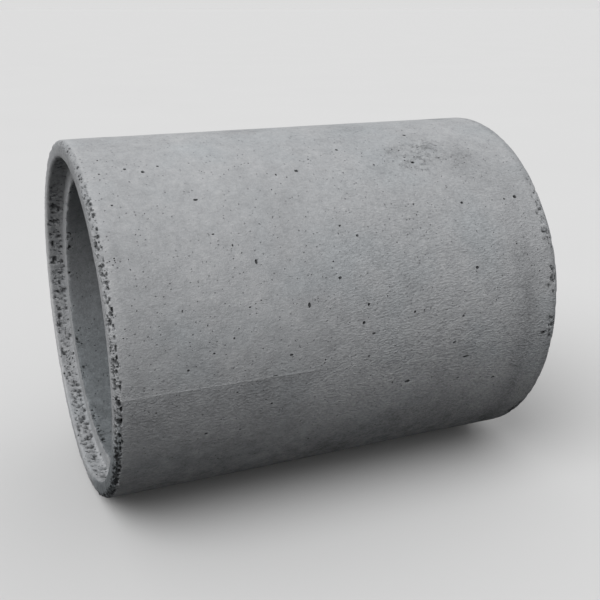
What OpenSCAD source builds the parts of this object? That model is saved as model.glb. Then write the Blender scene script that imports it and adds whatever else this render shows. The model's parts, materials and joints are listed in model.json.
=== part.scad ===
// Concrete sewer pipe with a rebated joint: one piece of cast concrete.
// It lies on its side with its axis along X, the rebated (female) end at -X and
// the tongue (male) end at +X. The origin is on the floor, under the middle of
// its length. All sizes are in millimetres.

/* [Barrel] */
// Inside diameter of the bore, which runs from end to end
bore_d = 600; // [450:10:900]
// Thickness of the barrel's wall
wall = 80; // [72:1:120]
// Length of the barrel, from the lip's face to the shoulder behind the tongue
barrel_len = 964; // [500:10:2400]

/* [Rebated end] */
// Thickness of the lip that surrounds the rebate
lip = 40; // [30:1:50]
// Depth of the rebate, from the lip's face to the ledge
rebate_depth = 38; // [20:1:80]

/* [Tongue end] */
// Gap all round between a tongue and the rebate that it enters, for the jointing mortar
joint_gap = 5; // [2:1:10]
// Gap between the tongue's tip and the ledge that it faces
end_gap = 2; // [1:1:10]

/* [Edges] */
// Reach of the bevel at the lip's outer edge, along the pipe and across it
lip_bevel = 8; // [2:1:15]
// Reach of the bevel at the shoulder's outer edge, along the pipe and across it
shoulder_bevel = 6; // [2:1:15]
// Reach of the bevel round the tongue's tip
tip_bevel = 3; // [1:1:5]

/* [Hidden] */
$fn = 180;

bore_r = bore_d / 2;
outer_r = bore_r + wall;
rebate_r = outer_r - lip;
tongue_r = rebate_r - joint_gap;
tongue_len = rebate_depth - end_gap;
total_len = barrel_len + tongue_len;

// Half section of the wall: distance from the axis across, distance from the lip's face up
module wall_section() {
    polygon([
        [rebate_r, 0],
        [outer_r - lip_bevel, 0],
        [outer_r, lip_bevel],
        [outer_r, barrel_len - shoulder_bevel],
        [outer_r - shoulder_bevel, barrel_len],
        [tongue_r, barrel_len],
        [tongue_r, total_len - tip_bevel],
        [tongue_r - tip_bevel, total_len],
        [bore_r, total_len],
        [bore_r, rebate_depth],
        [rebate_r, rebate_depth],
    ]);
}

// The whole pipe, turned from its wall section and laid on its side
module pipe() {
    color([0.62, 0.62, 0.60])
        translate([-total_len / 2, 0, outer_r])
            rotate([0, 90, 0])
                rotate_extrude()
                    wall_section();
}

pipe();
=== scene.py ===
"""A short concrete sewer pipe, cast in one piece, lying on a pale studio floor.

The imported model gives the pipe's sizes. The casting is one closed surface: the section of the
wall is carried round the axis on a grid of two parameters, the distance along the section and
the angle round the pipe. Worn rims, the mould's seam and the unevenness of the cast skin are
worked out as whole arrays and moved into the wall, and the air holes are cut into single cells
of the grid. The finish is a procedural cement material.
"""

import json
import logging
import math
from dataclasses import dataclass, field
from enum import Enum
from itertools import product
from typing import Any

import bpy
import numpy as np
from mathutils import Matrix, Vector


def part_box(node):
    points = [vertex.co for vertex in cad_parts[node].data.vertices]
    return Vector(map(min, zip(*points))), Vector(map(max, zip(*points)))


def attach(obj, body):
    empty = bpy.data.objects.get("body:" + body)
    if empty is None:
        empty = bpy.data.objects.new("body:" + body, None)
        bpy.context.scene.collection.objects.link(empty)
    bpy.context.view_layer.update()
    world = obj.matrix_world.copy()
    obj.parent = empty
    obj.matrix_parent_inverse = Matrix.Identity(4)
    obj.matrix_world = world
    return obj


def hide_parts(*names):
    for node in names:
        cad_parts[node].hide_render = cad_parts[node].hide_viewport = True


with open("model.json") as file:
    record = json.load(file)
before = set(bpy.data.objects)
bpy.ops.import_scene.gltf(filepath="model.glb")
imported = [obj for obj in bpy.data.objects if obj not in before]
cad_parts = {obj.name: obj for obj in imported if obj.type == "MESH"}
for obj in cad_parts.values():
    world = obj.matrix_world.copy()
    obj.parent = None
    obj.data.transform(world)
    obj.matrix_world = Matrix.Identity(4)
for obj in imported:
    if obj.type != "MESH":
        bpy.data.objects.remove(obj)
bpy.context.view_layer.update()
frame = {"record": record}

LOG = logging.getLogger("concrete_pipe")
MM = 0.001
TURN = 2.0 * math.pi
Array = np.ndarray


# ---------------------------------------------------------------------------------- noise


def lattice_random(lattice: Array, seed: int) -> Array:
    """Give each point of a whole-number lattice its own fixed random number.

    Formula: the three whole numbers and the seed are each multiplied by a large odd number
    and combined bit by bit; the high bits are twice folded onto the low ones, and the
    result is scaled to the range 0 to 1.

    Args:
        lattice: whole numbers, with x, y and z along the last axis.
        seed: a whole number that picks one of many such fields.

    Returns:
        One number from 0 to 1 for each lattice point.
    """
    x, y, z = (lattice[..., k].astype(np.int64).astype(np.uint64) for k in range(3))
    with np.errstate(over="ignore"):
        mixed = x * np.uint64(0x9E3779B97F4A7C15)
        mixed ^= y * np.uint64(0xC2B2AE3D27D4EB4F)
        mixed ^= z * np.uint64(0x165667B19E3779F9)
        mixed ^= np.uint64(seed) * np.uint64(0xD6E8FEB86659FD93)
        mixed ^= mixed >> np.uint64(32)
        mixed *= np.uint64(0xD6E8FEB86659FD93)
        mixed ^= mixed >> np.uint64(29)
        mixed *= np.uint64(0x9E3779B97F4A7C15)
        mixed ^= mixed >> np.uint64(32)
    return (mixed >> np.uint64(11)).astype(float) / 2.0**53


def smooth_noise(points: Array, size: float, seed: int) -> Array:
    """Soft random hills about as wide as size.

    Formula: the eight random numbers at the corners of the lattice cube around a point are
    blended by the smooth step 3t^2 - 2t^3 along each axis, and spread to the range -1 to 1.

    Args:
        points: positions in metres, one row each.
        size: side of the lattice's cubes, in metres.
        seed: picks the random field.

    Returns:
        One number from -1 to 1 for each point.
    """
    cell = points / size
    low = np.floor(cell)
    part = cell - low
    blend = part * part * (3.0 - 2.0 * part)
    total = np.zeros(len(points))
    for corner in product((0, 1), repeat=3):
        weight = np.prod(np.where(np.array(corner) == 1, blend, 1.0 - blend), axis=1)
        total += weight * lattice_random(low + corner, seed)
    return 2.0 * total - 1.0


def rough_noise(points: Array, size: float, seed: int, octaves: int = 3) -> Array:
    """Hills on hills: each octave is half as wide and half as high as the one before.

    Args:
        points: positions in metres, one row each.
        size: width of the widest hills, in metres.
        seed: picks the random field.
        octaves: how many sizes of hill are added up.

    Returns:
        One number from about -1 to 1 for each point.
    """
    total = np.zeros(len(points))
    for octave in range(octaves):
        total += 0.5**octave * smooth_noise(points, size * 0.5**octave, seed + octave)
    return total / (2.0 - 0.5 ** (octaves - 1))


def cell_noise(points: Array, size: float, seed: int) -> tuple[Array, Array]:
    """Distance to the nearest of many scattered centres, as the hollows in coarse concrete.

    Formula: every lattice cube holds one centre at a random place; over the 27 cubes around
    a point the smallest distance to a centre is kept, in units of size.

    Args:
        points: positions in metres, one row each.
        size: side of the lattice's cubes, in metres.
        seed: picks the random field.

    Returns:
        The distance to the nearest centre, and that centre's own random number.
    """
    cell = points / size
    low = np.floor(cell)
    nearest = np.full(len(points), np.inf)
    owner = np.zeros(len(points))
    for step in product((-1, 0, 1), repeat=3):
        cube = low + step
        centre = cube + np.stack([lattice_random(cube, seed + k) for k in range(3)], axis=1)
        distance = np.linalg.norm(centre - cell, axis=1)
        closer = distance < nearest
        owner = np.where(closer, lattice_random(cube, seed + 3), owner)
        nearest = np.where(closer, distance, nearest)
    return nearest, owner


def bell(distance: Array, width: float) -> Array:
    """A bell curve: 1 at no distance, falling off as exp(-(distance / width)^2)."""
    return np.exp(-((distance / width) ** 2))


def ramp(value: Array, low: float, high: float) -> Array:
    """A smooth step from 0 at low to 1 at high, by 3t^2 - 2t^3."""
    part = np.clip((value - low) / (high - low), 0.0, 1.0)
    return part * part * (3.0 - 2.0 * part)


# ---------------------------------------------------------------------------- wall section


class Arris(Enum):
    """The corners of the wall's section, in order round it, with their rounding in mm."""

    LIP_RIM = ("lip_rim", 13.0)
    SHOULDER_RIM = ("shoulder_rim", 9.0)
    TONGUE_ROOT = ("tongue_root", 3.0)
    TONGUE_RIM = ("tongue_rim", 3.5)
    TIP_EDGE = ("tip_edge", 4.0)
    LEDGE_EDGE = ("ledge_edge", 5.0)
    REBATE_ROOT = ("rebate_root", 3.0)
    MOUTH_EDGE = ("mouth_edge", 8.0)

    @property
    def rounding(self) -> float:
        """Radius of the corner's rounding, in metres."""
        return self.value[1] * MM


@dataclass
class WallSection:
    """The closed outline of the pipe's wall, as distance along the axis against radius.

    The outline starts at the lip's rim, runs along the outside to the shoulder, round the
    tongue, back through the bore and out over the ledge, the rebate and the lip's face.
    """

    lip_x: float
    shoulder_x: float
    tip_x: float
    ledge_x: float
    outer_r: float
    rebate_r: float
    tongue_r: float
    bore_r: float
    arc_points: int = 7
    axial: Array = field(init=False)
    radial: Array = field(init=False)
    along: Array = field(init=False)
    arris_at: dict[Arris, float] = field(init=False)

    @classmethod
    def from_record(cls) -> "WallSection":
        """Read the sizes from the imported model's box and from the mounts of its record."""
        low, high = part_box("pipe")
        mounts = {mount["name"]: mount for mount in frame["record"]["mounts"]}
        radius = {
            name: mounts[name]["dims"]["r_mm"] * MM for name in ("bore", "rebate", "tongue")
        }
        return cls(
            lip_x=low[0],
            shoulder_x=mounts["shoulder_face"]["pos_m"][0],
            tip_x=high[0],
            ledge_x=low[0] + mounts["rebate"]["dims"]["length_mm"] * MM,
            outer_r=(high[2] - low[2]) / 2.0,
            rebate_r=radius["rebate"],
            tongue_r=radius["tongue"],
            bore_r=radius["bore"],
        )

    def __post_init__(self) -> None:
        """Work out the outline and where each arris lies along it."""
        corners = {
            Arris.LIP_RIM: (self.lip_x, self.outer_r),
            Arris.SHOULDER_RIM: (self.shoulder_x, self.outer_r),
            Arris.TONGUE_ROOT: (self.shoulder_x, self.tongue_r),
            Arris.TONGUE_RIM: (self.tip_x, self.tongue_r),
            Arris.TIP_EDGE: (self.tip_x, self.bore_r),
            Arris.LEDGE_EDGE: (self.ledge_x, self.bore_r),
            Arris.REBATE_ROOT: (self.ledge_x, self.rebate_r),
            Arris.MOUTH_EDGE: (self.lip_x, self.rebate_r),
        }
        places = np.array(list(corners.values()))
        arcs = [
            self._rounded(places[k - 1], places[k], places[(k + 1) % len(places)], arris.rounding)
            for k, arris in enumerate(corners)
        ]
        loop = np.concatenate(arcs)
        start = self.arc_points // 2
        loop = np.roll(loop, -start, axis=0)
        closed = np.concatenate([loop, loop[:1]])
        steps = np.linalg.norm(np.diff(closed, axis=0), axis=1)
        self.along = np.concatenate([[0.0], np.cumsum(steps)])
        self.axial, self.radial = closed[:, 0], closed[:, 1]
        self.arris_at = {
            arris: self.along[k * self.arc_points] for k, arris in enumerate(corners)
        }

    def _rounded(self, before: Array, corner: Array, after: Array, rounding: float) -> Array:
        """Round one square corner by a quarter circle.

        Formula: with the unit directions into and out of the corner, the centre lies one
        radius back along the first and one radius on along the second, and the point at
        angle a is the centre - out * radius * cos(a) + in * radius * sin(a).

        Args:
            before, corner, after: three corners of the outline, one after the other.
            rounding: radius of the quarter circle, in metres.

        Returns:
            The points of the arc, one row each.
        """
        into = (corner - before) / np.linalg.norm(corner - before)
        out = (after - corner) / np.linalg.norm(after - corner)
        centre = corner - into * rounding + out * rounding
        angle = np.linspace(0.0, math.pi / 2.0, self.arc_points)[:, None]
        return centre - out * rounding * np.cos(angle) + into * rounding * np.sin(angle)

    @property
    def length(self) -> float:
        """Length of the whole outline, in metres."""
        return float(self.along[-1])

    def point(self, along: Array) -> tuple[Array, Array]:
        """Axial place and radius of the points at these distances along the outline."""
        wrapped = np.mod(along, self.length)
        return (
            np.interp(wrapped, self.along, self.axial),
            np.interp(wrapped, self.along, self.radial),
        )

    def outward(self, along: Array, reach: float) -> tuple[Array, Array]:
        """The direction out of the wall, smoothed over a stretch of the outline.

        Formula: the chord from reach behind to reach ahead, turned by a quarter turn.

        Args:
            along: distances along the outline, in metres.
            reach: half the length of the stretch, in metres.

        Returns:
            The axial and the radial part of the unit direction.
        """
        ahead, behind = self.point(along + reach), self.point(along - reach)
        axial, radial = ahead[0] - behind[0], ahead[1] - behind[1]
        size = np.hypot(axial, radial)
        return -radial / size, axial / size

    def from_arris(self, along: Array, arris: Arris) -> Array:
        """Signed distance along the outline from an arris, the short way round."""
        half = self.length / 2.0
        return np.mod(along - self.arris_at[arris] + half, self.length) - half


# ------------------------------------------------------------------------------- the grid


@dataclass(frozen=True)
class Zone:
    """A stretch of the outline whose rings are evenly spaced and have as many points."""

    name: str
    start: float
    end: float
    step: float
    around: int

    def stations(self) -> Array:
        """Distances along the outline of the zone's rings; the end belongs to the next zone."""
        count = max(2, round((self.end - self.start) / self.step))
        count += count % 2
        return np.linspace(self.start, self.end, count, endpoint=False)


@dataclass
class ShellGrid:
    """The points of the shell before its relief: rings round the axis, zone by zone."""

    section: WallSection
    zones: list[Zone]
    seam_angles: tuple[float, ...]
    seam_crowding: float = 6.0
    seam_reach: float = 0.018
    ring_along: Array = field(init=False)
    ring_count: Array = field(init=False)
    ring_start: Array = field(init=False)
    zone_rings: dict[str, tuple[int, int]] = field(init=False)
    along: Array = field(init=False)
    angle: Array = field(init=False)

    def __post_init__(self) -> None:
        """Lay out every ring, and the distance and angle of every point."""
        stations = [zone.stations() for zone in self.zones]
        sizes = [len(one) for one in stations]
        ends = np.cumsum(sizes)
        self.zone_rings = {
            zone.name: (int(end - size), int(end))
            for zone, size, end in zip(self.zones, sizes, ends)
        }
        self.ring_along = np.concatenate(stations)
        self.ring_count = np.repeat([zone.around for zone in self.zones], sizes)
        self.ring_start = np.concatenate([[0], np.cumsum(self.ring_count)])
        self.along = np.repeat(self.ring_along, self.ring_count)
        finest = max(zone.around for zone in self.zones)
        angles = self._angles(finest)
        self.angle = np.concatenate([angles[:: finest // count] for count in self.ring_count])

    def _angles(self, count: int) -> Array:
        """Angles round the pipe that crowd together at the mould's seams.

        Formula: the density of points is 1 + crowding * bell(angle from a seam); its running
        total is turned round, so that equal shares of the total give the angles.

        Args:
            count: number of angles in the whole turn.

        Returns:
            The angles in radians, from 0 at the top of the pipe.
        """
        fine = np.linspace(0.0, TURN, 24001)
        density = np.ones_like(fine)
        for seam in self.seam_angles:
            apart = np.mod(fine - seam + math.pi, TURN) - math.pi
            density += self.seam_crowding * bell(apart, self.seam_reach)
        total = np.concatenate([[0.0], np.cumsum((density[1:] + density[:-1]) / 2.0)])
        return np.interp(np.arange(count) / count, total / total[-1], fine)

    def point_index(self, ring: Array, column: Array) -> Array:
        """Number of the point in a ring's column; rings and columns wrap round."""
        ring = np.mod(ring, len(self.ring_count))
        return self.ring_start[ring] + np.mod(column, self.ring_count[ring])

    def strips(self) -> tuple[Array, Array, Array]:
        """Join every ring to the next.

        Rings of equal count are joined by quads. Where the count doubles or halves, each long
        edge is joined to the two short edges beside it by three triangles.

        Returns:
            The quads, the ring and column of each quad, and the triangles of the joins.
        """
        quads, homes, triangles = [], [], []
        for ring, count in enumerate(self.ring_count):
            nxt = self.ring_count[(ring + 1) % len(self.ring_count)]
            if nxt == count:
                column = np.arange(count)
                here, there = np.full(count, ring), np.full(count, ring + 1)
                quads.append(self._corners(here, there, column, column))
                homes.append(np.stack([here, column], axis=1))
            else:
                triangles.append(self._join(ring, int(min(count, nxt)), nxt > count))
        return np.concatenate(quads), np.concatenate(homes), np.concatenate(triangles)

    def _corners(self, here: Array, there: Array, column: Array, far: Array) -> Array:
        """The four corners of the quads between two rings, in outward order."""
        return np.stack(
            [
                self.point_index(here, column),
                self.point_index(here, column + 1),
                self.point_index(there, far + 1),
                self.point_index(there, far),
            ],
            axis=1,
        )

    def _join(self, ring: int, count: int, doubles: bool) -> Array:
        """Three triangles for each long edge between a ring and one twice as fine."""
        column = np.arange(count)
        coarse, fine = (ring, ring + 1) if doubles else (ring + 1, ring)
        left = self.point_index(np.full(count, coarse), column)
        right = self.point_index(np.full(count, coarse), column + 1)
        first, middle, last = (
            self.point_index(np.full(count, fine), 2 * column + k) for k in range(3)
        )
        fans = np.concatenate(
            [
                np.stack([left, middle, first], axis=1),
                np.stack([left, right, middle], axis=1),
                np.stack([right, last, middle], axis=1),
            ]
        )
        return fans if doubles else fans[:, ::-1]


# ----------------------------------------------------------------------------- the relief


@dataclass(frozen=True)
class RimWear:
    """How far an arris has crumbled: depth of its worst chips, and how they are spread."""

    arris: Arris
    depth: float
    width: float
    chip_size: float
    bare_share: float
    seed: int


@dataclass(frozen=True)
class PitScatter:
    """One size of pit between the grains, where the concrete is open.

    It holds how far apart the centres lie and how deep the pits go, the share of the centres
    that have a pit in fully open concrete, the least openness that has any, and the seed.
    """

    size: float
    depth: float
    share: float
    least: float
    seed: int


@dataclass
class Relief:
    """Everything that sets the cast skin apart from the true turned shape.

    All depths are in metres and go into the wall, so the shell never leaves the true shape.
    The seam fades out between two shares of the way along. The scabbed patch has its middle and
    its half sizes along the axis from the pipe's middle, and round the barrel from the top.
    """

    section: WallSection
    seam_angles: tuple[float, ...]
    skin_depth: float = 1.3 * MM
    seam_height: float = 0.65 * MM
    seam_width: float = 1.4 * MM
    seam_fade: tuple[float, float] = (0.33, 0.45)
    patch_middle: tuple[float, float] = (0.235, 0.185)
    patch_half: tuple[float, float] = (0.125, 0.085)
    rims: tuple[RimWear, ...] = (
        RimWear(Arris.LIP_RIM, 3.0 * MM, 9.0 * MM, 19 * MM, 0.45, 11),
        RimWear(Arris.LIP_RIM, 1.8 * MM, 10.0 * MM, 6 * MM, 0.30, 17),
        RimWear(Arris.MOUTH_EDGE, 2.0 * MM, 5.0 * MM, 15 * MM, 0.56, 21),
        RimWear(Arris.LEDGE_EDGE, 3.0 * MM, 5.0 * MM, 14 * MM, 0.45, 31),
        RimWear(Arris.SHOULDER_RIM, 2.0 * MM, 7.0 * MM, 12 * MM, 0.48, 41),
        RimWear(Arris.TONGUE_RIM, 4.0 * MM, 5.5 * MM, 20 * MM, 0.52, 51),
        RimWear(Arris.TIP_EDGE, 3.5 * MM, 5.0 * MM, 18 * MM, 0.52, 61),
    )
    pits: tuple[PitScatter, ...] = (
        PitScatter(13 * MM, 7.0 * MM, 0.50, 0.5, 81),
        PitScatter(8 * MM, 4.8 * MM, 0.50, 0.1, 86),
        PitScatter(5 * MM, 2.8 * MM, 0.50, 0.1, 131),
    )

    def skin(self, points: Array) -> Array:
        """Unevenness of the cast skin.

        Formula: a mean depth, plus hills 220 mm, 60 mm and 19 mm wide with falling heights.
        """
        return (
            self.skin_depth
            + 0.55 * MM * smooth_noise(points, 0.22, 1)
            + 0.28 * MM * smooth_noise(points, 0.06, 2)
            + 0.16 * MM * rough_noise(points, 0.019, 3, 2)
        )

    def seam(self, axial: Array, radial: Array, angle: Array, points: Array) -> Array:
        """Height of the thin fins left where the two halves of the mould met.

        Formula: a bell across the seam's line, whose angle drifts a little along the pipe,
        times a height that is full at the lip and fades out before the middle.

        Args:
            axial, radial, angle: place of each point along, out from and round the axis.
            points: the same places as positions.

        Returns:
            The fin's height at each point, in metres.
        """
        outside = radial > self.section.outer_r - 2.0 * MM
        reach = (axial - self.section.lip_x) / (self.section.tip_x - self.section.lip_x)
        fade = 1.0 - ramp(reach, *self.seam_fade)
        ragged = 0.75 + 0.45 * smooth_noise(points, 0.03, 71)
        height = np.zeros(len(axial))
        for seam in self.seam_angles:
            line = seam + math.radians(1.0) * (reach - 0.2)
            apart = np.mod(angle - line + math.pi, TURN) - math.pi
            height += bell(apart * radial, self.seam_width)
        return np.where(outside, self.seam_height * height * fade * ragged, 0.0)

    def rim(self, along: Array, angle: Array, points: Array, wear: RimWear) -> Array:
        """Chips broken out of one arris.

        Formula: rough noise above the bare share is raised to a steep step, so that chips
        have sharp sides, and multiplied by a bell across the arris; low down on the pipe,
        where it has been dragged and stood on, the chips are three quarters deeper.
        """
        noise = 0.5 + 0.5 * rough_noise(points, wear.chip_size, wear.seed)
        broken = ramp(noise, wear.bare_share, wear.bare_share + 0.28)
        knocked = 0.8 + 0.6 * bell(np.mod(angle, TURN) - math.radians(165.0), 0.45)
        across = bell(self.section.from_arris(along, wear.arris), wear.width)
        return wear.depth * across * broken * knocked

    def openness(self, along: Array, angle: Array, points: Array) -> Array:
        """How open the concrete is, from 0 on the sound skin to 1 and over on the lip's rim.

        Formula: the lip is open along its worn rim, a quarter as open 14 mm in from it and
        sound from 27 mm; it is open from the sides down to the ground and sounder at the
        top, where fewer air pockets were trapped. The shoulder and the ledge are open in
        clusters, by a bell beside the arris, and the rebate's wall from its root outwards.
        """
        section = self.section
        folded = np.abs(np.mod(angle + math.pi, TURN) - math.pi)
        low_down = 0.30 + 0.70 * ramp(folded, math.radians(15.0), math.radians(65.0))
        low_down += 0.25 * ramp(folded, math.radians(90.0), math.radians(125.0))
        clusters = 0.50 + 0.50 * smooth_noise(points, 40 * MM, 151)
        rim = section.from_arris(along, Arris.LIP_RIM)
        lip = low_down * (1.0 - 0.75 * ramp(-rim, 7 * MM, 14 * MM) - 0.25 * ramp(-rim, 14 * MM, 27 * MM))
        lip *= (1.0 - ramp(rim, 8 * MM, 14 * MM)) * (0.50 + 0.90 * clusters)
        shoulder = 0.75 * ramp(clusters, 0.35, 0.75) * low_down * bell(
            section.from_arris(along, Arris.SHOULDER_RIM) + 11 * MM, 12 * MM
        )
        ledge = 0.55 * ramp(clusters, 0.40, 0.75) * bell(
            section.from_arris(along, Arris.LEDGE_EDGE) + 5 * MM, 7 * MM
        )
        root = section.from_arris(along, Arris.REBATE_ROOT)
        rebate = 0.62 * ramp(root, -3 * MM, 2 * MM) * (1.0 - ramp(root, 24 * MM, 36 * MM))
        return np.maximum.reduce([lip, shoulder, ledge, rebate])

    def honeycomb(self, openness: Array, points: Array) -> Array:
        """Depth of the pits between the grains where the concrete didn't fill its mould.

        Formula: bowls with steep sides around scattered centres; the points are first pushed
        about by soft noise so that the outlines are irregular, and a bowl is kept where the
        centre's own random number is below its share times the openness, a product that
        falls to nothing at the scatter's least openness.
        """
        push = [2.0 * MM * smooth_noise(points, 7 * MM, seed) for seed in (141, 142, 143)]
        pushed = points + np.stack(push, axis=1)
        total = np.zeros(len(points))
        for pit in self.pits:
            distance, owner = cell_noise(pushed, pit.size, pit.seed)
            bowl = pit.depth * ramp(0.60 - distance, 0.0, 0.24)
            chance = pit.share * openness * ramp(openness, pit.least, pit.least + 0.3)
            total = np.maximum(total, np.where(owner < chance, bowl, 0.0))
        return total

    def patch(self, axial: Array, radial: Array, angle: Array, points: Array) -> Array:
        """How far a point lies in the scabbed patch on the upper side, from 0 to 1."""
        outside = radial > self.section.outer_r - 4.0 * MM
        (middle_x, middle_arc), (half_x, half_arc) = self.patch_middle, self.patch_half
        across = (axial - middle_x) / half_x
        down = (angle * self.section.outer_r - middle_arc) / half_arc
        edge = 0.55 * rough_noise(points, 0.05, 91)
        return np.where(outside, ramp(1.0 - np.hypot(across, down) + edge, 0.0, 0.8), 0.0)


# ------------------------------------------------------------------------- the air holes


class HoleShape(Enum):
    """How finely a hole is cut: rim points for each point around its block, and its rings.

    Each ring is given by its width as a share of the rim and its depth as a share of the
    whole depth.
    """

    PINHOLE = (2, ((1.0, 0.0), (0.74, 0.75)))
    POCKET = (1, ((1.0, 0.0), (0.76, 0.78)))
    BLOWHOLE = (2, ((1.0, 0.0), (0.90, 0.42), (0.60, 0.86)))

    @property
    def fan(self) -> int:
        """Rim points for each point of the block's outline."""
        return self.value[0]

    @property
    def rings(self) -> tuple[tuple[float, float], ...]:
        """Width and depth of the rim and the rings below it."""
        return self.value[1]


@dataclass(frozen=True)
class AirHoles:
    """A scatter of air holes over one zone, each in a square block of cells of the grid."""

    zone: str
    shape: HoleShape
    block: int
    count: int
    least: float
    most: float
    depth: float
    seed: int


@dataclass(frozen=True)
class KnownHole:
    """One of the large holes of the barrel.

    Its place is given along the axis from the pipe's middle and round the barrel from the
    top, and its size along and round the pipe, all in millimetres.
    """

    along: float
    around: float
    length: float
    width: float


@dataclass
class HoleCutter:
    """Cuts air holes into the grid: a rim, the rings below it and a floor for each."""

    grid: ShellGrid
    corner_angle: float = math.radians(225.0)
    margin: float = 0.06

    def block_loop(self, block: int) -> Array:
        """Ring and column steps of the points round a block, in the order of a quad's corners."""
        side = np.arange(block)
        full = np.full(block, block)
        none = np.zeros(block, dtype=int)
        return np.concatenate(
            [
                np.stack([none, side], axis=1),
                np.stack([side, full], axis=1),
                np.stack([full, full - side], axis=1),
                np.stack([full - side, none], axis=1),
            ]
        )

    def cut(
        self, points: Array, first: int, homes: Array, block: int, shape: HoleShape,
        half: Array, depth: Array, aim: Array, rng: np.random.Generator,
    ) -> tuple[Array, Array, Array, Array]:
        """Make the points and faces of many holes of one shape at once.

        Formula: a place (u, v) in the block is blended from its four outer corners; the rim
        is an ellipse in u and v around the hole's centre, and each lower ring is the same
        ellipse, smaller and deeper along the block's normal.

        Args:
            points: the grid's points, already in relief.
            first: number that the first new point gets.
            homes: first ring and column of each block, one row each.
            block: cells along one side of a block.
            shape: how finely the holes are cut.
            half: half the width round and half the length along the pipe, one row each.
            depth: depth of each hole.
            aim: wished centre of each hole as shares of its block, one row each.
            rng: source of the holes' irregular outlines.

        Returns:
            The new points, how hollow each one is, the new quads and the new triangles.
        """
        loop = self.block_loop(block)
        edge = self.grid.point_index(
            homes[:, :1] + loop[:, 0], homes[:, 1:] + loop[:, 1]
        )
        a, b, c, d = (points[edge[:, k * block]] for k in range(4))
        sizes = np.stack([np.linalg.norm(b - a, axis=1), np.linalg.norm(d - a, axis=1)], axis=1)
        normal = np.cross(c - a, d - b)
        normal /= np.linalg.norm(normal, axis=1)[:, None]
        limit = 0.5 - self.margin
        reach = np.minimum(half / sizes, limit)
        middle = np.clip(aim, 0.5 - (limit - reach), 0.5 + (limit - reach))
        sides = shape.fan * len(loop)
        turn = self.corner_angle + TURN * np.arange(sides) / sides
        ragged = rng.uniform(0.80, 1.0, (len(homes), sides))

        def blended(u: Array, v: Array) -> Array:
            """Positions at (u, v) in each block, blended from its four corners."""
            u, v = u[..., None], v[..., None]
            a1, b1, c1, d1 = (one[:, None, :] for one in (a, b, c, d))
            return (1 - u) * (1 - v) * a1 + u * (1 - v) * b1 + u * v * c1 + (1 - u) * v * d1

        made, hollow = [], []
        for share, sunk in shape.rings:
            u = middle[:, :1] + reach[:, :1] * share * ragged * np.cos(turn)
            v = middle[:, 1:] + reach[:, 1:] * share * ragged * np.sin(turn)
            made.append(blended(u, v) - (normal * (depth * sunk)[:, None])[:, None, :])
            # How hollow each ring is, for the painted shade in the hole.
            hollow.append(np.full((len(homes), sides), min(1.0, sunk * 2.0)))
        pit = (normal * depth[:, None])[:, None, :]
        made.append(blended(middle[:, :1], middle[:, 1:]) - pit)
        hollow.append(np.ones((len(homes), 1)))
        new_points = np.concatenate(made, axis=1)
        base = first + new_points.shape[1] * np.arange(len(homes))[:, None]
        levels = [base + sides * k + np.arange(sides) for k in range(len(shape.rings))]
        floor = np.broadcast_to(base + sides * len(levels), (len(homes), sides))
        quads = [
            np.stack([up, np.roll(up, -1, 1), np.roll(low, -1, 1), low], axis=2)
            for up, low in zip(levels, levels[1:])
        ]
        bottom = levels[-1]
        triangles = self._collar(edge, levels[0], shape.fan)
        triangles.append(np.stack([bottom, np.roll(bottom, -1, 1), floor], axis=2))
        return (
            new_points.reshape(-1, 3),
            np.concatenate(hollow, axis=1).ravel(),
            np.concatenate([one.reshape(-1, 4) for one in quads]),
            np.concatenate([one.reshape(-1, 3) for one in triangles]),
        )

    def _collar(self, edge: Array, rim: Array, fan: int) -> list[Array]:
        """Triangles between a block's outline and a hole's rim.

        Formula: every outline point holds a fan of rim edges, and one triangle bridges each
        outline edge to the rim point between two fans.
        """
        low = -(fan // 2)
        ahead = [np.roll(rim, -step, 1)[:, ::fan] for step in range(low, low + fan + 1)]
        fans = [np.stack([edge, far, near], axis=2) for near, far in zip(ahead, ahead[1:])]
        return fans + [np.stack([edge, np.roll(edge, -1, 1), ahead[-1]], axis=2)]


# ------------------------------------------------------------------------------ materials


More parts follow.
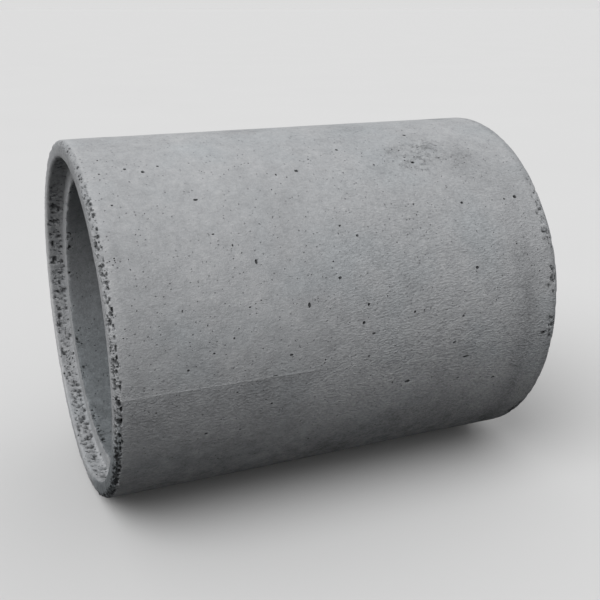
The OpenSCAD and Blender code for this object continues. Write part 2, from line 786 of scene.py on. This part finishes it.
class NodeBook:
    """Short hand for building a node material."""

    def __init__(self, name: str) -> None:
        """Make the material and keep its tree and its surface shader."""
        self.material = bpy.data.materials.new(name)
        self.material.use_nodes = True
        self.tree = self.material.node_tree
        self.shader = self.tree.nodes["Principled BSDF"]
        self.place = self.tree.nodes.new("ShaderNodeTexCoord").outputs["Object"]

    def link(self, source: Any, socket: Any) -> None:
        """Join a socket or put a plain value on an input."""
        if isinstance(source, bpy.types.NodeSocket):
            self.tree.links.new(source, socket)
        else:
            socket.default_value = source

    def math(self, operation: str, first: Any, second: Any = 0.0) -> Any:
        """One sum, product or other operation on numbers."""
        node = self.tree.nodes.new("ShaderNodeMath")
        node.operation = operation
        self.link(first, node.inputs[0])
        self.link(second, node.inputs[1])
        return node.outputs[0]

    def scaled(self, scale: tuple[float, float, float]) -> Any:
        """The object's coordinates, stretched by a factor along each axis."""
        node = self.tree.nodes.new("ShaderNodeMapping")
        self.link(self.place, node.inputs["Vector"])
        node.inputs["Scale"].default_value = scale
        return node.outputs["Vector"]

    def noise(self, scale: float, detail: float = 2.0, rough: float = 0.5, at: Any = None) -> Any:
        """A noise field from 0 to 1; scale is in hills per metre."""
        node = self.tree.nodes.new("ShaderNodeTexNoise")
        self.link(at if at is not None else self.place, node.inputs["Vector"])
        node.inputs["Scale"].default_value = scale
        node.inputs["Detail"].default_value = detail
        node.inputs["Roughness"].default_value = rough
        return node.outputs["Fac"]

    def centres(self, scale: float) -> tuple[Any, Any]:
        """Distance to the nearest of many scattered centres, and that centre's random number."""
        node = self.tree.nodes.new("ShaderNodeTexVoronoi")
        self.link(self.place, node.inputs["Vector"])
        node.inputs["Scale"].default_value = scale
        split = self.tree.nodes.new("ShaderNodeSeparateColor")
        self.link(node.outputs["Color"], split.inputs[0])
        return node.outputs["Distance"], split.outputs[0]

    def attribute(self, name: str) -> Any:
        """A number that the mesh holds at each point."""
        node = self.tree.nodes.new("ShaderNodeAttribute")
        node.attribute_name = name
        return node.outputs["Fac"]

    def spread(self, value: Any, low: float, high: float, to_low: float, to_high: float) -> Any:
        """Carry one range of numbers on to another, stopping at its ends."""
        node = self.tree.nodes.new("ShaderNodeMapRange")
        for socket, given in zip(node.inputs[:5], (value, low, high, to_low, to_high)):
            self.link(given, socket)
        return node.outputs[0]

    def colours(self, value: Any, stops: tuple[tuple[float, tuple[float, float, float]], ...]) -> Any:
        """Turn a number into a colour by a row of stops."""
        node = self.tree.nodes.new("ShaderNodeValToRGB")
        self.link(value, node.inputs[0])
        row = node.color_ramp.elements
        while len(row) < len(stops):
            row.new(0.5)
        for element, (place, colour) in zip(row, stops):
            element.position = place
            element.color = (*colour, 1.0)
        return node.outputs["Color"]

    def mixed(self, share: Any, first: Any, second: Any, kind: str) -> Any:
        """Blend two colours in the way that kind names."""
        node = self.tree.nodes.new("ShaderNodeMix")
        node.data_type = "RGBA"
        node.blend_type = kind
        for name, given in (("Factor_Float", share), ("A_Color", first), ("B_Color", second)):
            socket = next(one for one in node.inputs if one.identifier == name)
            self.link((*given, 1.0) if isinstance(given, tuple) else given, socket)
        return next(one for one in node.outputs if one.identifier == "Result_Color")

    def added(self, total: Any, value: Any, weight: float) -> Any:
        """A total with a weighted field added to it, or taken off where the weight is below 0."""
        return self.math("ADD", total, self.math("MULTIPLY", value, weight))

    def swing(self, value: Any, weight: float) -> Any:
        """A 0 to 1 field made to swing about nothing, by half its weight either way."""
        return self.math("MULTIPLY", self.math("SUBTRACT", value, 0.5), weight)

    def crack(self, scale: float, width: float) -> Any:
        """Thin wandering lines, 1 on the line and 0 beside it: where a noise field is a half."""
        off = self.math("ABSOLUTE", self.math("SUBTRACT", self.noise(scale, 4.0, 0.65), 0.5))
        return self.spread(off, width * 0.3, width, 1.0, 0.0)

    def bump(self, height_mm: Any) -> None:
        """Raise the surface by a height given in millimetres."""
        node = self.tree.nodes.new("ShaderNodeBump")
        node.inputs["Strength"].default_value = 1.0
        node.inputs["Distance"].default_value = MM
        self.link(height_mm, node.inputs["Height"])
        self.tree.links.new(node.outputs["Normal"], self.shader.inputs["Normal"])


@dataclass(frozen=True)
class CastConcrete:
    """Grey cast concrete: cloudy cement skin, sand grain and specks, with painted light and shade: shade
    in the hollows, in the bore, round the lip and low down, where the ground also wets it, and a
    highlight behind the lip.
    """

    dark: tuple[float, float, float] = (0.030, 0.032, 0.034)
    middle: tuple[float, float, float] = (0.336, 0.343, 0.353)
    light: tuple[float, float, float] = (0.550, 0.552, 0.555)
    cold: tuple[float, float, float] = (0.290, 0.318, 0.336)
    roughness: float = 0.9

    def material(self) -> bpy.types.Material:
        """Build the node material.

        Formula: a tone is added up from clouds, mottle, streaks and sand grain, raised by the painted
        highlight behind the lip and lowered by stains, wear and painted shade in the hollows, in the
        bore, round the lip and low down, where the ground also wets it and the mottle is made stronger
        as painted grazing light; the tone is turned into a colour, bluish in the deepest painted shade;
        the bump adds up sand grain, drag ripples, cracks and small specks that are too fine for the
        mesh.
        """
        book = NodeBook("cast_concrete")
        hollow, coarse = book.attribute("hollow"), book.attribute("coarse")
        stain_and_painted_light, drag = book.attribute("stain_and_painted_light"), book.attribute("drag")
        scab, shade = book.attribute("scab"), book.attribute("shade")
        mottle = book.noise(34.0, 4.0, 0.60)
        grain = book.noise(520.0, 3.0, 0.7)
        sand = book.noise(210.0, 3.0, 0.6)
        rough = book.noise(120.0, 4.0, 0.65)
        streaks = book.noise(1.0, 3.0, 0.62, book.scaled((135.0, 265.0, 265.0)))
        swings = (
            (book.noise(5.5, 4.0, 0.55), 0.16), (mottle, 0.22), (book.noise(95.0, 3.0, 0.6), 0.17),
            (grain, 0.23), (sand, 0.21),
        )
        tone = 0.50
        for field_, weight in swings:
            tone = book.math("ADD", book.swing(field_, weight), tone)
        lines = book.math("MULTIPLY", book.math("SUBTRACT", streaks, 0.5), drag)
        tone = book.added(tone, lines, 0.46)
        rubble = book.math("MULTIPLY", book.math("SUBTRACT", rough, 0.5), coarse)
        tone = book.added(tone, rubble, 0.42)
        # Stains with their painted light and shade, the painted shade low down and the painted shade in
        # the hollows darken the tone; open concrete is a little paler.
        for field_, weight in ((stain_and_painted_light, -0.22), (shade, -0.27), (coarse, 0.03), (hollow, -0.40)):
            tone = book.added(tone, field_, weight)
        # Painted shade: the mottle is made stronger low down, painting the grain's shading under grazing
        # light.
        painted_grazing_shade = book.math("MULTIPLY", book.swing(mottle, 0.30), shade)
        tone = book.math("ADD", tone, painted_grazing_shade)

        crack = book.crack(46.0, 0.060)
        flake = book.spread(book.noise(70.0, 4.0, 0.7), 0.44, 0.60, 0.0, 1.0)
        broken = book.math("MULTIPLY", book.math("MULTIPLY", crack, flake), scab)
        tone = book.added(tone, broken, -0.17)
        tone = book.added(tone, scab, -0.03)

        apart, kept = book.centres(150.0)
        pocks = book.math("MULTIPLY", book.spread(apart, 0.16, 0.34, 1.0, 0.0), coarse)
        pocks = book.math("MULTIPLY", pocks, book.spread(kept, 0.50, 0.58, 0.0, 1.0))
        tone = book.added(tone, pocks, -0.26)

        distance, owner = book.centres(135.0)
        chosen = book.spread(owner, 0.68, 0.76, 0.0, 1.0)
        speck = book.math("MULTIPLY", book.spread(distance, 0.10, 0.26, 1.0, 0.0), chosen)
        tone = book.added(tone, speck, -0.20)

        colour = book.colours(
            tone, ((0.0, self.dark), (0.50, self.middle), (0.85, self.light))
        )
        tint = book.spread(book.noise(7.5, 2.0), 0.48, 0.72, 0.0, 0.30)
        # Bluish where the stains and painted shade are strongest, which is mostly the painted shade in
        # the bore and low on the lip.
        tint = book.math("MAXIMUM", tint, book.spread(stain_and_painted_light, 0.6, 1.2, 0.0, 0.8))
        book.link(book.mixed(tint, colour, self.cold, "COLOR"), book.shader.inputs["Base Color"])
        book.link(self.roughness, book.shader.inputs["Roughness"])
        book.link(0.25, book.shader.inputs["Specular IOR Level"])

        height = book.math("MULTIPLY", grain, 0.60)
        for field_, weight in (
            (sand, 0.75), (mottle, 2.2), (rubble, 3.2), (lines, 3.2), (speck, -1.2),
            (broken, -1.4), (pocks, -2.4),
        ):
            height = book.added(height, field_, weight)
        book.bump(height)
        return book.material


@dataclass(frozen=True)
class StudioFloor:
    """Plain pale matt floor with the faintest unevenness of tone."""

    low: tuple[float, float, float] = (0.570, 0.570, 0.570)
    high: tuple[float, float, float] = (0.577, 0.577, 0.577)

    def material(self) -> bpy.types.Material:
        """Build the node material: soft clouds between two pale tones."""
        book = NodeBook("studio_floor")
        clouds = book.noise(0.8, 2.0)
        book.link(
            book.colours(clouds, ((0.3, self.low), (0.7, self.high))),
            book.shader.inputs["Base Color"],
        )
        book.link(0.95, book.shader.inputs["Roughness"])
        book.link(0.1, book.shader.inputs["Specular IOR Level"])
        return book.material


# ------------------------------------------------------------------------------ the pipe


@dataclass
class PipeCasting:
    """The concrete pipe as one closed shell with its relief, air holes and finish."""

    section: WallSection
    finish: CastConcrete
    seam_angles: tuple[float, ...] = (math.radians(95.0), math.radians(275.0))
    finest: int = 1280
    holes: tuple[AirHoles, ...] = (
        AirHoles("barrel", HoleShape.BLOWHOLE, 2, 45, 2.4 * MM, 4.2 * MM, 1.0, 201),
        AirHoles("barrel", HoleShape.PINHOLE, 1, 470, 1.2 * MM, 3.0 * MM, 1.1, 202),
        AirHoles("near_skin", HoleShape.PINHOLE, 1, 60, 1.0 * MM, 1.9 * MM, 1.4, 203),
        AirHoles("far_band", HoleShape.POCKET, 2, 80, 1.6 * MM, 3.2 * MM, 1.5, 204),
        AirHoles("end_faces", HoleShape.PINHOLE, 1, 60, 1.4 * MM, 2.6 * MM, 1.2, 205),
        AirHoles("bore", HoleShape.PINHOLE, 1, 50, 1.6 * MM, 3.4 * MM, 0.8, 206),
        AirHoles("mouth", HoleShape.POCKET, 2, 200, 1.5 * MM, 3.0 * MM, 1.7, 207),
        AirHoles("mouth", HoleShape.POCKET, 1, 200, 0.9 * MM, 1.6 * MM, 1.8, 208),
    )
    known: tuple[KnownHole, ...] = (
        KnownHole(-378, 180, 9, 9),
        KnownHole(-347, 165, 6, 6),
        KnownHole(-299, 265, 11, 6),
        KnownHole(-365, 589, 6, 6),
        KnownHole(-193, 628, 12, 6),
        KnownHole(-158, 591, 8, 6),
        KnownHole(-328, 736, 9, 7),
        KnownHole(-199, 691, 6, 6),
        KnownHole(-75, 210, 10, 8),
        KnownHole(-124, 506, 7, 12),
        KnownHole(-49, 459, 9, 6),
        KnownHole(-2, 553, 8, 8),
        KnownHole(6, 514, 7, 7),
        KnownHole(2, 378, 7, 6),
        KnownHole(93, 697, 15, 9),
        KnownHole(108, 540, 6, 6),
        KnownHole(193, 211, 10, 8),
        KnownHole(225, 106, 9, 9),
        KnownHole(203, 620, 10, 8),
        KnownHole(219, 566, 7, 6),
        KnownHole(227, 712, 8, 6),
        KnownHole(246, 656, 19, 5),
        KnownHole(262, 331, 8, 7),
        KnownHole(262, 471, 9, 8),
        KnownHole(408, 326, 10, 9),
    )

    def zones(self) -> list[Zone]:
        """Stretches of the outline: fine at the pitted rims, coarser along barrel and bore."""
        at = self.section.arris_at
        finest, fine, half, quarter = (self.finest // share for share in (1, 2, 4, 8))
        shoulder = at[Arris.SHOULDER_RIM]
        tip = at[Arris.TIP_EDGE] + 12 * MM
        ledge = at[Arris.LEDGE_EDGE] - 18 * MM
        throat = ledge - 40 * MM
        rim = self.section.length - 26 * MM
        return [
            Zone("lip_skin", 0.0, 16 * MM, 2.3 * MM, finest),
            Zone("near_skin", 16 * MM, 34 * MM, 6.0 * MM, fine),
            Zone("barrel", 34 * MM, shoulder - 26 * MM, 15.5 * MM, half),
            Zone("far_band", shoulder - 26 * MM, shoulder + 10 * MM, 3.3 * MM, fine),
            Zone("end_faces", shoulder + 10 * MM, tip, 7.0 * MM, half),
            Zone("bore", tip, throat, 40 * MM, quarter),
            Zone("throat", throat, ledge, 10 * MM, half),
            Zone("mouth", ledge, rim, 4.7 * MM, fine),
            Zone("lip_face", rim, self.section.length, 2.3 * MM, finest),
        ]

    def build(self) -> bpy.types.Object:
        """Make the shell and dress it.

        Formula: a point at distance s along the section and angle a round the pipe lies at
        x = axial(s), y = -radial(s) * sin(a), z = outer radius + radial(s) * cos(a); it is
        then moved into the wall by the relief along the section's outward direction.

        Returns:
            The finished piece.
        """
        grid = ShellGrid(self.section, self.zones(), self.seam_angles)
        relief = Relief(self.section, self.seam_angles)
        axial, radial = self.section.point(grid.along)
        true = self._placed(axial, radial, grid.angle)

        openness = relief.openness(grid.along, grid.angle, true)
        pits = relief.honeycomb(openness, true)
        deep = pits.copy()
        for wear in relief.rims:
            deep = np.maximum(deep, relief.rim(grid.along, grid.angle, true, wear))
        patch = relief.patch(axial, radial, grid.angle, true)
        fine = relief.skin(true) + 0.5 * MM * patch
        fine -= relief.seam(axial, radial, grid.angle, true)
        fine = np.maximum(fine, 0.05 * MM)

        soft = self.section.outward(grid.along, 9 * MM)
        crisp = self.section.outward(grid.along, 1.5 * MM)
        points = self._placed(
            axial - deep * soft[0] - fine * crisp[0],
            radial - deep * soft[1] - fine * crisp[1],
            grid.angle,
        )
        marks = self._marks(grid, true, axial, radial, patch)
        # Painted shade in the pits: how deep each point lies in one.
        marks["hollow"] = ramp(pits, 0.8 * MM, 4.0 * MM)
        marks["coarse"] = np.maximum(ramp(openness, 0.1, 0.5), ramp(deep, 0.4 * MM, 3.0 * MM))
        return self._finished(*self._with_holes(grid, points, marks, patch))

    def _placed(self, axial: Array, radial: Array, angle: Array) -> Array:
        """Positions of points given along, out from and round the pipe's axis."""
        return np.stack(
            [axial, -radial * np.sin(angle), self.section.outer_r + radial * np.cos(angle)],
            axis=1,
        )

    def _marks(
        self, grid: ShellGrid, points: Array, axial: Array, radial: Array, patch: Array
    ) -> dict[str, Array]:
        """Numbers for the finish at every point: stains with painted shade in the bore and painted light
        and shade at the lip, painted shade low down that is partly wet from the ground, drag lines and
        scabs.
        """
        section = self.section
        outside = radial > section.outer_r - 4 * MM
        bore = radial < section.bore_r + 2 * MM
        reach = (axial - section.lip_x) / (section.tip_x - section.lip_x)
        arc = np.mod(grid.angle, TURN) * section.outer_r
        stain_and_painted_light = np.zeros(len(axial))
        # Wet runs below each seam, strongest over the third of the barrel next to the lip.
        for seam in self.seam_angles:
            line = seam * section.outer_r
            below = ramp(arc, line, line + 5 * MM) * (1.0 - ramp(arc, line + 0.08, line + 0.26))
            stain_and_painted_light += 0.48 * below * (1.0 - 0.8 * ramp(reach, 0.34, 0.42))
        # A dark band before the shoulder, faint at the top, and the edge of the shoulder itself.
        low_side = 0.25 + 0.75 * ramp(arc, 0.25, 0.60)
        stain_and_painted_light += 0.48 * low_side * bell(axial - (section.shoulder_x - 78 * MM), 28 * MM)
        stain_and_painted_light += 0.35 * ramp(axial, section.shoulder_x - 30 * MM, section.shoulder_x - 8 * MM)
        # A painted highlight as a pale band behind the lip, along its rounded arris; a thin pale line on
        # the lower side, and dark clouds.
        stain_and_painted_light -= 0.25 * bell(axial - (section.lip_x + 16 * MM), 12 * MM)
        stain_and_painted_light -= 0.25 * bell(axial - (section.lip_x + 165 * MM), 8 * MM) * ramp(arc, 0.62, 0.66)
        stain_and_painted_light += 0.40 * ramp(rough_noise(points, 0.11, 97), 0.1, 0.9)
        # Darker towards the ground: painted shade on the underside, partly also wet from the ground.
        painted_shade_and_damp = ramp(0.30 - points[:, 2] + 0.07 * rough_noise(points, 0.16, 98), 0.0, 0.30)
        drag = (0.30 + 0.70 * ramp(reach, 0.34, 0.56)) * (0.35 + 0.65 * bell(arc - 0.56, 0.26))
        drag += 0.55 * ramp(arc, 0.56, 0.66) * (1.0 - ramp(arc, 0.95, 1.05))
        # Inside the bore: painted shade, darker towards the bottom of the bore.
        inside = np.where(bore, 0.76 + 0.48 * ramp(-np.cos(grid.angle), -0.3, 0.9), 0.0)
        # The stains also carry painted shade in the bore and painted light and shade round the lip; the
        # shade mark is painted shade low down.
        return {
            "stain_and_painted_light": np.where(outside, stain_and_painted_light, inside) + self._lip_light_and_shade(grid),
            "shade": np.where(outside, painted_shade_and_damp, 0.25 * painted_shade_and_damp),
            "drag": np.where(outside, drag, 0.1),
            "scab": patch,
        }

    def _lip_light_and_shade(self, grid: ShellGrid) -> Array:
        """Painted light and shade round the lip: paler on the far side, painted shade at the top,
        darkest low on the near side.

        Formula: steps in the angle from the top, on the lip's face and its worn rim only.
        """
        rim = self.section.from_arris(grid.along, Arris.LIP_RIM)
        on_lip = (1.0 - ramp(rim, 5 * MM, 12 * MM)) * (1.0 - ramp(-rim, 34 * MM, 40 * MM))
        turned = np.degrees(np.mod(grid.angle + math.pi, TURN) - math.pi)
        # Painted light and shade: paler on the far side, painted shade at the top and the deepest
        # painted shade low on the near side.
        stain_and_painted_light = -1.10 * bell(turned + 95.0, 55.0) + 0.60 * bell(turned - 5.0, 50.0)
        stain_and_painted_light += 1.30 * ramp(turned, 85.0, 125.0) * (1.0 - ramp(turned, 160.0, 180.0))
        return stain_and_painted_light * on_lip

    def _with_holes(
        self, grid: ShellGrid, points: Array, marks: dict[str, Array], patch: Array
    ) -> tuple[Array, Array, Array, dict[str, Array]]:
        """Cut the air holes into the grid.

        Args:
            grid: the rings and how they are joined.
            points: positions of the grid's points.
            marks: numbers for the finish at the grid's points.
            patch: how far each point lies in the scabbed patch, where holes crowd.

        Returns:
            All points, quads and triangles, and the marks at all points.
        """
        quads, homes, triangles = grid.strips()
        taken = np.zeros((len(grid.ring_count), self.finest), dtype=bool)
        all_points, all_triangles, extra_quads = [points], [triangles], []
        hollows, sources = [marks["hollow"]], [np.arange(len(points))]
        cutter = HoleCutter(grid)
        for holes in (None, *self.holes):
            rng = np.random.default_rng(holes.seed if holes else 200)
            batch = (
                self._scattered_batch(grid, holes, points, patch, taken, rng)
                if holes
                else self._known_batch(grid)
            )
            home, block, shape, half, depth, aim = batch
            made = cutter.cut(
                points, sum(map(len, all_points)), home, block, shape, half, depth, aim, rng
            )
            all_points.append(made[0])
            hollows.append(made[1])
            extra_quads.append(made[2])
            all_triangles.append(made[3])
            corner = grid.point_index(home[:, 0], home[:, 1])
            sources.append(np.repeat(corner, len(made[0]) // len(home)))
            for down, over in product(range(block), repeat=2):
                taken[home[:, 0] + down, home[:, 1] + over] = True
        kept = ~taken[homes[:, 0], homes[:, 1]]
        source = np.concatenate(sources)
        full = {name: values[source] for name, values in marks.items()}
        full["hollow"] = np.concatenate(hollows)
        return self._without_loose(
            np.concatenate(all_points),
            np.concatenate([quads[kept], *extra_quads]),
            np.concatenate(all_triangles),
            full,
        )

    def _known_batch(self, grid: ShellGrid) -> tuple[Array, int, HoleShape, Array, Array, Array]:
        """Blocks, sizes and centres of the large holes whose places are known.

        Formula: each goes to the block whose middle is nearest to its place, and is 0.9 of
        its narrower half width deep, and 1.2 mm more.
        """
        first, last = grid.zone_rings["barrel"]
        around = int(grid.ring_count[first])
        angles = grid.angle[grid.ring_start[first] : grid.ring_start[first] + around]
        rows = np.arange(first, last - 2, 2)
        columns = np.arange(0, around - 2, 2)
        along = np.array([hole.along for hole in self.known]) * MM - self.section.lip_x
        angle = np.array([hole.around for hole in self.known]) * MM / self.section.outer_r
        middle_x = (self.section.lip_x + self.section.tip_x) / 2.0
        along = along + middle_x
        row = rows[np.argmin(np.abs(grid.ring_along[rows + 1] - along[:, None]), axis=1)]
        column = columns[np.argmin(np.abs(angles[columns + 1] - angle[:, None]), axis=1)]
        aim = np.stack(
            [
                (angle - angles[column]) / (angles[column + 2] - angles[column]),
                (along - grid.ring_along[row]) / (grid.ring_along[row + 2] - grid.ring_along[row]),
            ],
            axis=1,
        )
        half = np.array([[hole.width, hole.length] for hole in self.known]) * MM / 2.0
        home, first_of = np.unique(np.stack([row, column], axis=1), axis=0, return_index=True)
        half, aim = half[first_of], aim[first_of]
        return home, 2, HoleShape.BLOWHOLE, half, 0.9 * half.min(axis=1) + 1.2 * MM, aim

    def _scattered_batch(
        self, grid: ShellGrid, holes: AirHoles, points: Array, patch: Array, taken: Array,
        rng: np.random.Generator,
    ) -> tuple[Array, int, HoleShape, Array, Array, Array]:
        """Blocks, sizes and centres of a scatter, crowded by soft noise and in the patch."""
        first, last = grid.zone_rings[holes.zone]
        around = int(grid.ring_count[first])
        rows = np.arange(first, last - holes.block, holes.block)
        columns = np.arange(0, around, holes.block)
        home = np.stack(np.meshgrid(rows, columns, indexing="ij"), axis=-1).reshape(-1, 2)
        busy = np.zeros(len(home), dtype=bool)
        for down, over in product(range(holes.block), repeat=2):
            busy |= taken[home[:, 0] + down, home[:, 1] + over]
        home = home[~busy]
        corner = grid.point_index(home[:, 0], home[:, 1])
        crowd = ramp(smooth_noise(points[corner], 0.045, 301), -0.1, 0.8) ** 2 + 0.08
        weight = crowd + 1.2 * patch[corner]
        home = home[rng.choice(len(home), holes.count, replace=False, p=weight / weight.sum())]
        size = holes.least + (holes.most - holes.least) * rng.random(holes.count) ** 2.2
        stretch = rng.uniform(0.72, 1.38, holes.count)
        half = np.stack([size * stretch, size / stretch], axis=1)
        depth = size * holes.depth * rng.uniform(0.7, 1.25, holes.count)
        return home, holes.block, holes.shape, half, depth, rng.random((holes.count, 2))

    @staticmethod
    def _without_loose(
        points: Array, quads: Array, triangles: Array, marks: dict[str, Array]
    ) -> tuple[Array, Array, Array, dict[str, Array]]:
        """Drop the points that no face uses, such as those inside the blocks cut out."""
        used = np.zeros(len(points), dtype=bool)
        used[quads.ravel()] = True
        used[triangles.ravel()] = True
        number = np.cumsum(used) - 1
        kept = {name: values[used] for name, values in marks.items()}
        return points[used], number[quads], number[triangles], kept

    def _finished(
        self, points: Array, quads: Array, triangles: Array, marks: dict[str, Array]
    ) -> bpy.types.Object:
        """Put the shell into a mesh, with its marks, its finish and its place in the frame."""
        mesh = bpy.data.meshes.new("concrete_pipe")
        mesh.from_pydata(points, [], quads.tolist() + triangles.tolist())
        mesh.polygons.foreach_set("use_smooth", np.ones(len(mesh.polygons), dtype=bool))
        mesh.set_sharp_from_angle(angle=math.radians(48.0))
        for name, values in marks.items():
            layer = mesh.attributes.new(name, "FLOAT", "POINT")
            layer.data.foreach_set("value", values.astype(np.float32))
        mesh.materials.append(self.finish.material())
        mesh.validate()
        mesh.update()
        piece = bpy.data.objects.new("concrete_pipe", mesh)
        bpy.context.collection.objects.link(piece)
        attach(piece, "root")
        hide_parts("pipe")
        count = 2 * len(quads) + len(triangles)
        LOG.info("concrete_pipe: %d points, %d triangles", len(points), count)
        return piece


# ----------------------------------------------------------------------------- the studio


@dataclass(frozen=True)
class SoftLight:
    """A very wide far lamp: where it shines from, how strongly, and how wide it looks."""

    name: str
    source: tuple[float, float, float]
    strength: float
    spread_degrees: float

    def build(self) -> bpy.types.Object:
        """Make the lamp and turn it to shine from its source."""
        data = bpy.data.lights.new(self.name, "SUN")
        data.energy = self.strength
        data.angle = math.radians(self.spread_degrees)
        lamp = bpy.data.objects.new(self.name, data)
        lamp.location = [3.0 * part for part in self.source]
        lamp.rotation_euler = Vector(self.source).to_track_quat("Z", "Y").to_euler()
        bpy.context.collection.objects.link(lamp)
        return lamp


@dataclass
class Studio:
    """Camera, floor, lamps and the pale surroundings."""

    middle: Vector
    azimuth: float = -23.5
    elevation: float = 18.1
    distance: float = 2.103
    aim_offset: tuple[float, float, float] = (0.017, -0.013, -0.017)
    lens: float = 54.1
    floor_side: float = 600.0
    sky: float = 0.72
    ground: float = 0.03
    lamps: tuple[SoftLight, ...] = (
        SoftLight("key", (-1.05, -0.58, 1.55), 1.96, 50.0),
        SoftLight("fill", (0.60, 0.60, 0.55), 0.25, 60.0),
    )

    def camera(self) -> bpy.types.Object:
        """Stand the camera off from its aim, along its azimuth and elevation."""
        turn, rise = math.radians(self.azimuth), math.radians(self.elevation)
        back = Vector(
            (math.sin(turn) * math.cos(rise), -math.cos(turn) * math.cos(rise), math.sin(rise))
        )
        data = bpy.data.cameras.new("camera")
        data.sensor_width = 36.0
        data.lens = self.lens
        camera = bpy.data.objects.new("camera", data)
        camera.location = self.middle + Vector(self.aim_offset) + back * self.distance
        camera.rotation_euler = (-back).to_track_quat("-Z", "Y").to_euler()
        bpy.context.collection.objects.link(camera)
        bpy.context.scene.camera = camera
        return camera

    def floor(self) -> bpy.types.Object:
        """Lay a wide pale floor under the pipe."""
        half = self.floor_side / 2.0
        corners = [(-half, -half, 0.0), (half, -half, 0.0), (half, half, 0.0), (-half, half, 0.0)]
        mesh = bpy.data.meshes.new("floor")
        mesh.from_pydata(corners, [], [(0, 1, 2, 3)])
        mesh.materials.append(StudioFloor().material())
        floor = bpy.data.objects.new("floor", mesh)
        floor.visible_diffuse = False
        bpy.context.collection.objects.link(floor)
        return floor

    def surroundings(self) -> None:
        """Give the scene an even pale sky over dark ground.

        Formula: the height of the view direction is turned into a grey that steps from the
        ground's to the sky's at the horizon.
        """
        world = bpy.data.worlds.new("studio")
        world.use_nodes = True
        nodes, links = world.node_tree.nodes, world.node_tree.links
        direction = nodes.new("ShaderNodeTexCoord").outputs["Generated"]
        split = nodes.new("ShaderNodeSeparateXYZ")
        grey = nodes.new("ShaderNodeMapRange")
        links.new(direction, split.inputs[0])
        links.new(split.outputs["Z"], grey.inputs["Value"])
        for name, number in (
            ("From Min", -0.05), ("From Max", -0.01), ("To Min", self.ground), ("To Max", self.sky)
        ):
            grey.inputs[name].default_value = number
        links.new(grey.outputs[0], nodes["Background"].inputs["Color"])
        bpy.context.scene.world = world

    def build(self) -> None:
        """Set up the whole studio."""
        self.camera()
        self.floor()
        self.surroundings()
        for lamp in self.lamps:
            lamp.build()
        bpy.context.scene.view_settings.view_transform = "Standard"
        LOG.info("studio: %d lamps", len(self.lamps))


def main() -> None:
    """Build the studio and the pipe."""
    logging.basicConfig(level=logging.INFO, format="%(name)s: %(message)s")
    low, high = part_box("pipe")
    Studio(middle=(Vector(low) + Vector(high)) / 2.0).build()
    PipeCasting(WallSection.from_record(), CastConcrete()).build()


if __name__ == "__main__":
    main()
